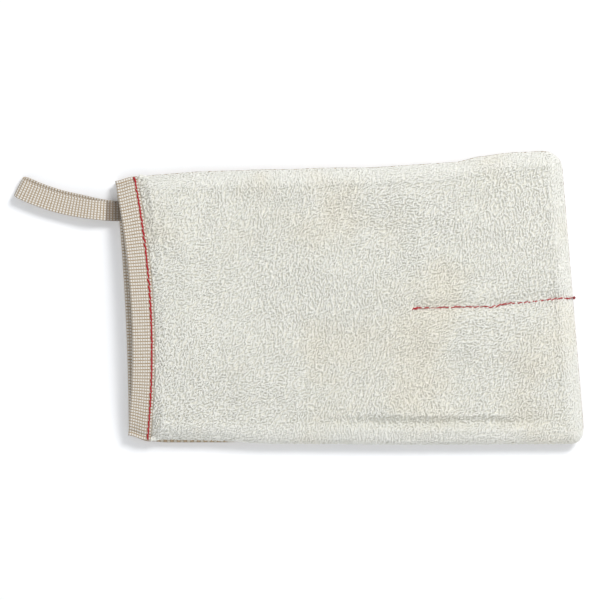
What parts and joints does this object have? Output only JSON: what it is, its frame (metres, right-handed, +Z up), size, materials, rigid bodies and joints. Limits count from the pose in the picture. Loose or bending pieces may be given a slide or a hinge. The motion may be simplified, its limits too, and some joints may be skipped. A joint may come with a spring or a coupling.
{
  "type": "wash mitt",
  "caption": "Flat terry wash mitt with a woven back, a taped open mouth, a hanging tape loop and a sewn divider that makes two finger pockets.",
  "frame": {"origin": "on the surface the mitt lies on, under the middle of the mitt with its loop", "axes": "+X from the open mouth to the closed end, +Y across the mitt towards the loop's side, +Z up out of the terry face"},
  "size_m": [0.3114, 0.1563, 0.0191],
  "materials": {
    "terry": "unbleached cotton loop pile",
    "woven_back": "coarse plain weave, natural and white",
    "binding_tape": "checked cotton tape, white and tan",
    "red_thread": "spun sewing thread",
    "white_thread": "spun sewing thread"
  },
  "bodies": {
    "mitt": {"front_terry_panel": "terry", "back_woven_panel": "woven_back", "back_mouth_binding": "binding_tape", "back_topstitch_needle_thread": "red_thread", "back_topstitch_bobbin_thread": "red_thread", "divider_needle_thread": "red_thread", "divider_bobbin_thread": "red_thread", "closing_seam_thread": "white_thread", "loop_sewn_ends": "binding_tape", "loop_tack_thread": "white_thread"},
    "mouth_lip": {"front_mouth_binding": "binding_tape", "front_topstitch_needle_thread": "red_thread", "front_topstitch_bobbin_thread": "red_thread"},
    "loop": {"hanging_loop": "binding_tape"}
  },
  "joints": [
    {"name": "loop_swing", "type": "hinge", "parent": "mitt", "child": "loop", "pos_m": [-0.10061, 0.04636, 0.00515], "axis": [0, 1, 0], "range_deg": [-80, 60]},
    {"name": "mouth_open", "type": "hinge", "parent": "mitt", "child": "mouth_lip", "pos_m": [-0.09654, -0.00789, 0.00405], "axis": [0.0533, -0.9986, 0], "range_deg": [0, 30], "deforming": ["front_terry_panel"]}
  ]
}
